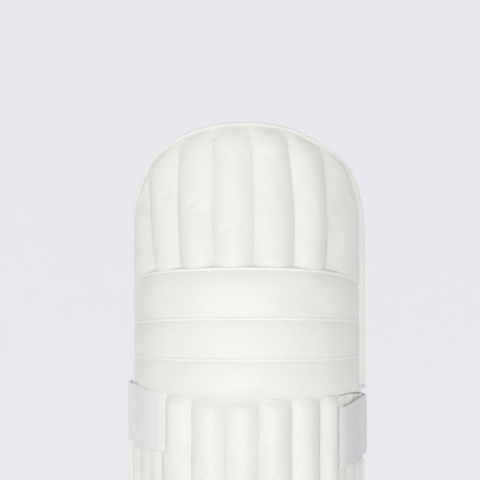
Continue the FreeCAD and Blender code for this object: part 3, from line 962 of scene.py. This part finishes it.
def knee_outline():
    """The knee section's and top flap's outline from the lower left, over the top, to the lower right."""
    halves = []
    for side in (-1, 1):
        lower = side * (S_END - np.linspace(KNEE_CORNER ** 0.5, 0.0, 25) ** 2)
        foot = np.stack([lower, knee_foot(lower)], -1)
        angle = np.linspace(0, 1, 160) * math.pi / 2
        x = TOP_ARCH_HALF * np.cos(angle) ** (2 / TOP_ARCH_POWER)
        s = side * s_of_x(np.minimum(x, plan_x(S_END)))
        halves.append(np.concatenate([foot, np.stack([s, arch_top(s)], -1)]))
    left, right = halves
    return np.concatenate([left, right[::-1][1:]])


def s_of_x(x):
    """The length along the valley line of a place seen from the front, the other way round from plan_x."""
    table = np.linspace(0, S_END, 2000)
    return np.interp(x, plan_x(table), table)


def leaning_margin(path):
    """The knee section's and top flap's margin along a path, leaning back with the flap."""
    lean = flap_lean(path[:, 0], path[:, 1])
    return lambda inside, s: margin(inside, s) - lean


# heights where the knee section's tape is cut, one length to each body
TAPE_CUTS = (400.0, 457.0, 494.5, 537.0)


def make_knee_tape():
    whole = resample(knee_outline(), TAPE_STEP)
    top = len(whole) // 2
    pieces = []
    for side, points in (("left", whole[:top]), ("right", whole[top:])):
        for j in range(3):
            hit = np.flatnonzero((points[:, 1] >= TAPE_CUTS[j]) & (points[:, 1] < TAPE_CUTS[j + 1]))
            last = min(hit[-1] + 1, len(points) - 1) if side == "left" else hit[-1]
            first = hit[0] if side == "left" else max(hit[0] - 1, 0)
            pieces.append((f"knee_tape_{side}_{j + 1}", points[first:last + 1], j, KNEE_BODIES[j + 1]))
    high = np.flatnonzero(whole[:, 1] >= TAPE_CUTS[-1])
    pieces.append(("top_flap_tape", whole[high[0]:high[-1] + 1], 3, "top_flap"))
    for name, path, j, body in pieces:
        width = tape_width(path[:, 0])
        obj = tape(name, path, -1, width, LINING_THIN, leaning_margin(path), f"{body}_binding")
        blend_at(obj)


def wing_edge(inside, s):
    """How far out a wing's tape lies."""
    return np.where(s < 0, 2.0, 0.8) + wing_margin(inside, s)


def make_other_tape():
    """Tape round the foot, the ankle flaps and the wings."""
    turn = np.linspace(0, math.pi / 2, 8)
    r = 8.0
    half = [[x, float(foot_line(np.array(x)))] for x in np.linspace(0, S_END, 700)]
    half += [[S_END, z] for z in np.linspace(CORNER, ANKLE_TOP - r, 20)]
    half += [[S_END - r + r * math.cos(a), ANKLE_TOP - r + r * math.sin(a)] for a in turn]
    left, right = (np.array(half + [[seam + 0.6, ANKLE_TOP]]) * (side, 1) for side, _, seam in SIDES)
    path = resample(np.concatenate([left[::-1], right[1:]]), TAPE_STEP)
    obj = tape("foot_tape", path, 1, np.full(len(path), 6.5), LINING_THIN, low_margin, "bottom_binding")
    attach(obj, "shin")
    low = WING_Z[0]
    for side, word, seam in SIDES:
        name = f"{word}_wing"
        corner = [[S_END - r + r * math.sin(a), low + r - r * math.cos(a)] for a in turn]
        top = [S_END, float(wing_top(side * S_END, seam)) + 0.3]
        path = resample(np.array([[seam + 2.6, low]] + corner + [top]) * (side, 1), TAPE_STEP)
        width = np.full(len(path), 7.0)
        obj = tape(f"{name}_tape", path, side, width, WING_BACK, wing_edge, f"{name}_binding")
        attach(obj, name)


# ---- stitches ----

def stitches(name, starts, ends, normals, radius=0.42):
    """Short raised threads, each a six-sided spindle sunk a little at both ends."""
    along = ends - starts
    length = np.linalg.norm(along, axis=1, keepdims=True)
    along = along / length
    side = np.cross(along, normals)
    side /= np.linalg.norm(side, axis=1, keepdims=True)
    up = np.cross(side, along)
    share = np.array([0.0, 0.12, 0.5, 0.88, 1.0])
    size = np.array([0.35, 0.85, 1.0, 0.85, 0.35])
    lift = np.array([-0.55, 0.0, 0.35, 0.0, -0.55])
    turn = np.arange(6) * math.pi / 3
    spots = []
    for f, r, h in zip(share, size, lift):
        middle = starts + along * length * f + up * (h * radius * MM)
        ring = [middle + (side * math.cos(a) + up * math.sin(a)) * (r * radius * MM) for a in turn]
        spots.append(np.stack(ring, 1))
    points = np.stack(spots, 1).reshape(-1, 3)
    faces = []
    for k in range(len(starts)):
        base = k * 30
        for ring in range(4):
            for m in range(6):
                a, b = base + ring * 6 + m, base + ring * 6 + (m + 1) % 6
                faces.append((a, b, b + 6, a + 6))
        faces.append(tuple(base + m for m in range(5, -1, -1)))
        faces.append(tuple(base + 24 + m for m in range(6)))
    obj = new_object(name, points, faces)
    obj.data.polygons.foreach_set("use_smooth", np.ones(len(faces), bool))
    obj.data.materials.append(MATERIALS["thread"])
    return obj


def surface_normals(s):
    """Outward directions of the plan at s."""
    angle = np.clip(s, -S_ARC, S_ARC) / RADIUS
    return np.stack([np.sin(angle), -np.cos(angle), 0 * s], -1)


def stitch_line(path, off, pitch=4.6, length=3.3):
    """Starts, ends and normals of stitches along a path in (s, z), at the heights off."""
    path = np.asarray(path, float)
    full = np.column_stack([path, np.broadcast_to(off, len(path))])
    along = np.concatenate([[0], np.cumsum(np.hypot(np.diff(path[:, 0]), np.diff(path[:, 1])))])
    first = np.arange(2.0, along[-1] - length - 1.0, pitch)

    def at(where):
        s, z, o = (np.interp(where, along, full[:, k]) for k in range(3))
        return plan(s, z, o), s

    starts, s = at(first)
    ends, _ = at(first + length)
    return starts, ends, surface_normals(s)


def join_lines(lines):
    """The starts, ends and normals of several stitch lines as one."""
    return tuple(np.concatenate(parts) for parts in zip(*lines))


def make_stitches():
    shin = []
    for s in SHIN_SEAMS:
        z0, z1 = float(foot_line(np.array(s))) + 9.0, float(knee_seam(0, np.array(s))) - 8.0
        shin.append(stitch_line([(s, z0), (s, z1)], CHANNEL_VALLEY + 0.4))
    obj = stitches("shin_stitches", *join_lines(shin))
    blend_at(obj)
    flap = []
    for i in range(len(FLAP_SEAMS)):
        z = np.linspace(KNEE_Z[3] + 3.0, 700.0, 60)
        s = flap_seam(i, z)
        keep = flap_inside(s, z) > tape_width(s) + 2.0
        height = CHANNEL_VALLEY + 0.4 + margin(flap_inside(s, z), s) - flap_lean(s, z)
        flap.append(stitch_line(np.stack([s, z], -1)[keep], height[keep]))
    blend_at(stitches("top_flap_stitches", *join_lines(flap)))
    for j in range(1, 4):
        edge = S_END - 14.0
        s = np.linspace(-edge, edge, 200)
        line = stitch_line(np.stack([s, knee_seam(j, s) - 1.9], -1), seam_relief(j, s) + 0.75)
        blend_at(stitches(f"knee_seam_stitches_{j + 1}", *line))
    for name, path, off in STITCH_ROWS:
        obj = stitches(name, *stitch_line(path, off))
        if name.startswith("knee_tape"):
            blend_at(obj)
        elif name.startswith("top_flap"):
            blend_at(obj)
        else:
            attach(obj, name.split("_tape")[0] if "wing" in name else "shin")


# ---- straps ----

# name, width, height of the middle line half way between the pad's back edges, then its rise per length
# backwards on the left end, behind the pad and on the right end, and its fall per length to the right
STRAPS = [
    ("knee", 63.0, 409.9, 0.105, 0.18, 0.241, 0.055),
    ("calf", 45.0, 262.0, 0.10, 0.14, 0.18, 0.02),
    ("ankle", 38.0, 140.0, 0.0, 0.0, 0.0, 0.0),
]
STRAP_IN = 3.5
STRAP_OUT = 5.7
TURN_RADIUS = 10.0
TURN = math.radians(48.5)
TURN_X = plan_x(S_END) - TURN_RADIUS * math.sin(HALF_ANGLE)
TURN_Y = EDGE_Y + TURN_RADIUS * math.cos(HALF_ANGLE)
LONG_RADIUS = TURN_RADIUS + TURN_X / math.cos(TURN)
LONG_Y = TURN_Y - TURN_X * math.tan(TURN)
TURN_LENGTH = TURN_RADIUS * (TURN - HALF_ANGLE + math.pi / 2)
BACK_LENGTH = 2 * TURN_LENGTH + LONG_RADIUS * (math.pi - 2 * TURN)


def strap_height(name, point):
    """Height of a strap's middle line at points in millimetres."""
    height, left_end, back, right_end, to_left = next(r for r in STRAPS if r[0] == name)[2:]
    x, behind = point[..., 0], point[..., 1] - EDGE_Y
    slope = np.where(behind > 0, back, np.where(x < 0, left_end, right_end))
    return height + slope * behind - to_left * x


def strap_plan(p, off):
    """Plan position at length p round a strap: 0 at the right back edge, BACK_LENGTH at the left one."""
    p, off = np.broadcast_arrays(np.asarray(p, float), np.asarray(off, float))
    mirror = p > BACK_LENGTH / 2
    q = np.where(mirror, BACK_LENGTH - p, p)
    most = np.where(mirror, SQUEEZE_LEFT, SQUEEZE_RIGHT)
    off = off - most * edge_pull(q) * (1 - smooth((q - PULL_HOLD) / PULL_EASE))
    front = flat_plan(S_END + p, 0.0, off) / MM
    tight = HALF_ANGLE - math.pi / 2 + q / TURN_RADIUS
    long = TURN + (q - TURN_LENGTH) / LONG_RADIUS
    on_turn = q < TURN_LENGTH
    tight_r, long_r = TURN_RADIUS + off, LONG_RADIUS + off
    x = np.where(on_turn, TURN_X + tight_r * np.cos(tight), long_r * np.cos(long))
    y = np.where(on_turn, TURN_Y + tight_r * np.sin(tight), LONG_Y + long_r * np.sin(long))
    x = np.where(mirror, -x, x)
    x = np.where(p < 0, front[..., 0], x)
    y = np.where(p < 0, front[..., 1], y)
    after = flat_plan(-S_END + np.maximum(p - BACK_LENGTH, 0), 0.0, off) / MM
    x = np.where(p > BACK_LENGTH, after[..., 0], x)
    y = np.where(p > BACK_LENGTH, after[..., 1], y)
    return np.stack([x, y], -1)


def strap_grid(name, p, w, off):
    """Points of a strap at length p, w up from its middle line and off outside the pad."""
    xy = strap_plan(p, off)
    point = np.stack([xy[..., 0], xy[..., 1], 0 * xy[..., 0]], -1)
    point[..., 2] = strap_height(name, point) + w
    return point * MM


# where across its half width a strap's rows of points lie
STRAP_ROWS = (0.2, 0.5, 0.8, 0.86, 0.89, 0.92, 0.955, 0.985, 1)
STRAP_EDGE = 0.9
TIP_BAND = 8.0
# where the hooks and the loops under a strap's left end lie, as lengths from the middle of the pad's front
HOOK_SPAN = (141.0, 106.0)
LOOP_SPAN = (143.0, 104.5)
# half length and half height of the soft pad behind the leg
CALF_PAD = (46.0, 35.0)


def strap_slab(name, strap, span, half, low, high, look, fine=3.0, ribs=False):
    """One length of strap, with soft edges and, where ribbed, two lines sunk by its edge stitching."""
    lengths = np.linspace(*span, max(4, int(round((span[1] - span[0]) / fine))))
    share = np.array([-x for x in STRAP_ROWS[::-1]] + list(STRAP_ROWS))
    w, p = np.meshgrid(share * half, lengths, indexing="ij")
    out = half - np.abs(w)
    drop = STRAP_EDGE * (1 - dome(out / 1.6))
    groove = 0.28 * fade(out - half * 0.11, 0.9) if ribs else 0
    swell = 0.25 * ripple(p, w, 45.0, len(name))
    front = strap_grid(strap, p, w, high - drop - groove + swell * (out > 1))
    back = strap_grid(strap, p, w, low + 0.25 * drop)
    # painted shade: the strap darkens towards its right end and anchor, fading out behind the pad, carried
    # in the seam attribute
    painted_shade_and_seams = smooth((45.0 - p) / 60.0)
    obj = slab(name, *[grid[:, ::-1] for grid in (front, back, p, w, painted_shade_and_seams)])
    return finish_piece(obj, "strap_web", look)


def make_strap(strap, width):
    half = width / 2
    inner = f"{strap}_strap"
    middle = BACK_LENGTH / 2
    left_edge = BACK_LENGTH + S_END
    end = left_edge + SEAM_A + 9.0
    start = -(S_END - SEAM_G - 1.0)

    def piece(suffix, span, *rest, **more):
        return strap_slab(f"{inner}_{suffix}", strap, span, *rest, **more)

    right = piece("right", (start + 6.0, middle), half, STRAP_IN, STRAP_OUT, "strap_web", ribs=True)
    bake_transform(right)
    left = piece("left", (middle, end - TIP_BAND + 0.5), half, STRAP_IN, STRAP_OUT, "strap_web", ribs=True)
    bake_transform(left)
    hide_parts(f"{inner}_loop", f"{inner}_tip")
    band = (half + 0.3, STRAP_IN - 0.3, STRAP_OUT + 0.25, "strap_end", 1.0)
    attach(piece("tip_binding", (end - TIP_BAND, end), *band), f"{inner}_end")
    anchor = piece("anchor", (start, start + 6.5), half + 0.3, 0.4, STRAP_OUT + 0.4, "strap_end", 1.0)
    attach(anchor, "right_wing")
    if strap == "knee":
        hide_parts("strap_anchors")
    hook_span = [left_edge - x for x in HOOK_SPAN]
    hook = piece("hooks", hook_span, half - 5, 2.3, STRAP_IN, "hook_tape")
    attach(hook, f"{inner}_end")
    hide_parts(f"{inner}_hook")
    loop_span = [left_edge - x for x in LOOP_SPAN]
    loops = piece("loops", loop_span, half - 2, 0.2, 2.2, "loop_tape")
    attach(loops, "left_wing")
    if strap == "knee":
        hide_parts("loop_patches")


def make_calf_pad():
    """Soft pad sewn inside the knee strap behind the leg."""
    half, tall = CALF_PAD
    middle = BACK_LENGTH / 2
    p, w = np.meshgrid(np.linspace(-half, half, 40), np.linspace(-tall, tall, 32))
    inside = np.minimum(half - np.abs(p), tall - np.abs(w))
    thick = 1.5 + 7.0 * dome((inside - 2.0) / 14.0)
    groove = fade(np.abs(p) - 15.0, 2.0) * 2.5 * dome(inside / 10.0)
    outer = strap_grid("knee", p + middle, w, STRAP_IN - 0.1)
    inner = strap_grid("knee", p + middle, w, STRAP_IN - thick + groove)
    obj = slab("knee_strap_calf_pad_soft", inner, outer, p, w)
    finish_piece(obj, "liner_cloth")
    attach(obj, "knee_strap")
    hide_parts("knee_strap_calf_pad")


def paint_carried_nodes():
    """The canes come from the CAD as they are and get their wood here."""
    for name in ("shin_canes", "top_flap_canes"):
        obj = bpy.data.objects.get(name)
        if obj is not None:
            obj.data.materials.clear()
            obj.data.materials.append(MATERIALS["cane"])


make_shin()
make_ankle_flaps()
make_wings()
make_knee_roll()
make_knee_welts()
make_top_flap()
make_linings()
make_knee_tape()
make_other_tape()
make_stitches()
for strap_name, strap_width, *_ in STRAPS:
    make_strap(strap_name, strap_width)
make_calf_pad()
paint_carried_nodes()


# ---- stage, light and camera ----

PAPER_GLOW = (1.0, 1.0, 0.985, 1)
PAPER_STRENGTH = 0.217
WORLD_STRENGTH = 0.65


def glow(n, shader):
    """Backdrop light from behind the paper."""
    shader.inputs["Emission Color"].default_value = PAPER_GLOW
    shader.inputs["Emission Strength"].default_value = PAPER_STRENGTH


def make_stage():
    floor = bpy.data.meshes.new("floor")
    floor.from_pydata([(-9, -9, 0), (9, -9, 0), (9, 6, 0), (-9, 6, 0)], [], [(0, 1, 2, 3)])
    wall = bpy.data.meshes.new("wall")
    wall.from_pydata([(-9, 6, 0), (9, 6, 0), (9, 6, 9), (-9, 6, 9)], [], [(0, 1, 2, 3)])
    for mesh in (floor, wall):
        obj = link_object(mesh.name, mesh)
        mesh.materials.append(material("pale paper", (0.79, 0.80, 0.84), 0.9, glow))


def aim_object(obj, place, aim):
    obj.location = place
    obj.rotation_euler = (aim - place).to_track_quat("-Z", "Y").to_euler()


def area_light(name, place, aim, size, power):
    data = bpy.data.lights.new(name, "AREA")
    data.shape = "RECTANGLE"
    data.size, data.size_y = size
    data.energy = power
    aim_object(link_object(name, data), Vector(place), Vector(aim))


def make_lights():
    world = bpy.data.worlds.new("studio")
    bpy.context.scene.world = world
    world.use_nodes = True
    back = world.node_tree.nodes["Background"]
    back.inputs[0].default_value = (1, 1, 1, 1)
    back.inputs[1].default_value = WORLD_STRENGTH
    area_light("left", (-2.2, -2.6, 0.6), (0, 0, 0.5), (1.6, 1.8), 8.5)
    area_light("front", (-0.14, -2.3, 0.16), (0, 0, 0.5), (1.1, 0.5), 18.1)


CAMERA_DISTANCE = 2.6
FRAME_WIDTH = 0.49728
SENSOR = 36
EYE_HEIGHT = 0.5045
AIM_HEIGHT = 0.5978
AIM_X = -0.0088


def make_camera():
    data = bpy.data.cameras.new("camera")
    data.sensor_width = SENSOR
    data.lens = SENSOR * CAMERA_DISTANCE / FRAME_WIDTH
    data.clip_end = 50
    camera = link_object("camera", data)
    front_y = (CENTRE_Y - RADIUS - CHANNEL_CREST) * MM
    place = Vector((AIM_X, front_y - CAMERA_DISTANCE, EYE_HEIGHT))
    aim = Vector((AIM_X, front_y, AIM_HEIGHT))
    aim_object(camera, place, aim)
    bpy.context.scene.camera = camera


make_stage()
make_lights()
make_camera()
bpy.context.scene.view_settings.view_transform = "Standard"
